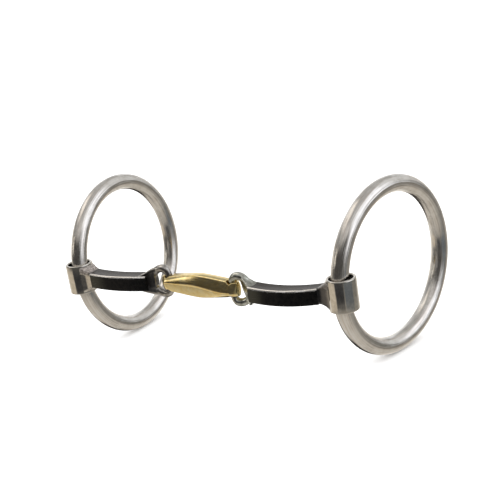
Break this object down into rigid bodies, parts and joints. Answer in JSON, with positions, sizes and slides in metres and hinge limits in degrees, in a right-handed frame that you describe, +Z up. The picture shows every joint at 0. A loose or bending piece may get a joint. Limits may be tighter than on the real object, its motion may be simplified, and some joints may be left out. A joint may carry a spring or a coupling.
{
  "type": "snaffle bit",
  "caption": "Horse bit: round rings slide through sleeves on a black double-jointed mouthpiece with a faceted brass link between the two arms.",
  "frame": {"origin": "middle of the brass centre link, which is held as the tongue holds it", "axes": "+X along the centre link towards the arm called right, +Y towards the side that the rings stand on at rest, +Z up along the sleeves and the eyes' pivot pins"},
  "size_m": [0.1557, 0.0869, 0.0762],
  "materials": {
    "ring_steel": "satin-polished stainless steel with fine marks along the wire",
    "sleeve_steel": "polished steel, rough where the butts are welded",
    "black_iron": "smooth black oxide with a low sheen",
    "brass": "hand-polished yellow brass"
  },
  "bodies": {
    "centre_link": {"centre_link": "brass"},
    "left_arm": {"left_eye": "sleeve_steel", "left_bar": "black_iron", "left_butt": "sleeve_steel"},
    "left_sleeve": {"left_sleeve": "sleeve_steel"},
    "left_ring": {"left_ring": "ring_steel"},
    "right_arm": {"right_eye": "sleeve_steel", "right_bar": "black_iron", "right_butt": "sleeve_steel"},
    "right_sleeve": {"right_sleeve": "sleeve_steel"},
    "right_ring": {"right_ring": "ring_steel"}
  },
  "joints": [
    {"name": "left_arm_fold", "type": "hinge", "parent": "centre_link", "child": "left_arm", "pos_m": [-0.017, 0, 0], "axis": [0, 0, 1], "range_deg": [-90, 90]},
    {"name": "left_ring_swivel", "type": "hinge", "parent": "left_arm", "child": "left_sleeve", "pos_m": [-0.06782, -0.00364, 0], "axis": [0.0098, 0.0007, -1], "range_deg": [-250, 75]},
    {"name": "left_ring_slide", "type": "hinge", "parent": "left_sleeve", "child": "left_ring", "pos_m": [-0.06919, 0.0304, 0.00041], "axis": [0.9972, 0.0592, 0.0447], "continuous": true},
    {"name": "right_arm_fold", "type": "hinge", "parent": "centre_link", "child": "right_arm", "pos_m": [0.017, 0, 0], "axis": [0, 0, 1], "range_deg": [-90, 90]},
    {"name": "right_ring_swivel", "type": "hinge", "parent": "right_arm", "child": "right_sleeve", "pos_m": [0.06765, 0.0055, 0], "axis": [0.0059, 0.0006, -1], "range_deg": [-75, 250]},
    {"name": "right_ring_slide", "type": "hinge", "parent": "right_sleeve", "child": "right_ring", "pos_m": [0.07167, 0.03934, 0.00044], "axis": [0.9894, -0.1425, -0.0274], "continuous": true}
  ]
}
